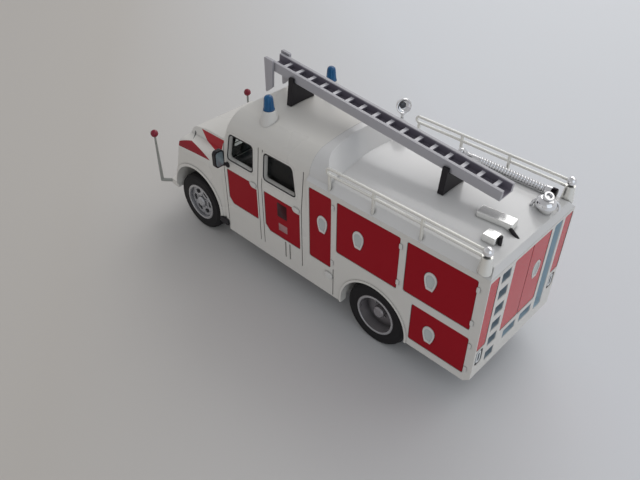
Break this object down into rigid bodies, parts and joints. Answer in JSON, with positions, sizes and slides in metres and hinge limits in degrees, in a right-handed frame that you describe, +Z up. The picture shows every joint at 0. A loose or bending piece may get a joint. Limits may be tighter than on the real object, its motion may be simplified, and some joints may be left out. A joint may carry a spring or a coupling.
{
  "type": "model fire engine",
  "caption": "Small white and red model of a bonneted crew-cab fire engine with a roof ladder.",
  "frame": {"origin": "on the floor, midway between the rear face and the front marker balls, on the centre line", "axes": "+X forward, +Y to the vehicle's left, +Z up"},
  "size_m": [0.1199, 0.045, 0.0599],
  "materials": {
    "white_paint": "gloss",
    "red_paint": "gloss",
    "white_plastic": "gloss",
    "black_plastic": "satin",
    "dark_interior": "matte",
    "grey_plastic": "satin",
    "rail_plastic": "gloss",
    "ladder_grey": "satin",
    "clear_glazing": "clear",
    "lamp_clear": "gloss",
    "marker_red": "gloss",
    "beacon_blue": "gloss",
    "chrome_trim": "polished",
    "axle_steel": "brushed",
    "tyre_rubber": "matte",
    "rim_white": "satin"
  },
  "bodies": {
    "model": {"base_plate": "black_plastic", "rear_body": "white_paint", "roof_deck": "white_paint", "cab_body": "white_paint", "cab_glazing": "clear_glazing", "cab_interior": "dark_interior", "steering_wheel": "black_plastic", "front_bumper": "white_paint", "front_grille": "dark_interior", "headlamps": "chrome_trim", "cab_panels": "red_paint", "door_handles": "white_plastic", "locker_doors": "red_paint", "rear_doors": "red_paint", "corner_strips": "red_paint", "tail_lamps": "lamp_clear", "latch_rims": "white_plastic", "latch_dishes": "grey_plastic", "locker_hinges": "white_plastic", "filler_cap": "white_plastic", "cab_steps": "black_plastic", "guard_rails": "rail_plastic", "rail_knobs": "chrome_trim", "ladder_main": "ladder_grey", "ladder_hooks": "ladder_grey", "ladder_brackets": "black_plastic", "beacon_bases": "white_plastic", "beacon_lenses": "beacon_blue", "marker_rods": "black_plastic", "marker_balls": "marker_red", "door_mirrors": "black_plastic", "searchlight": "chrome_trim", "suction_hose": "chrome_trim", "hose_coupling": "black_plastic", "monitor_base": "white_plastic", "water_monitor": "chrome_trim", "deck_chest": "white_plastic", "deck_box": "white_plastic", "deck_fittings": "black_plastic"},
    "front_axle_set": {"front_axle_pin": "axle_steel", "front_tyres": "tyre_rubber", "front_rims": "rim_white"},
    "rear_axle_set": {"rear_axle_pin": "axle_steel", "rear_tyres": "tyre_rubber", "rear_rims": "rim_white"}
  },
  "joints": [
    {"name": "front_axle_roll", "type": "hinge", "parent": "model", "child": "front_axle_set", "pos_m": [0.04235, 0, 0.00945], "axis": [0, 1, 0], "continuous": true},
    {"name": "rear_axle_roll", "type": "hinge", "parent": "model", "child": "rear_axle_set", "pos_m": [-0.02995, 0, 0.00945], "axis": [0, 1, 0], "continuous": true}
  ]
}
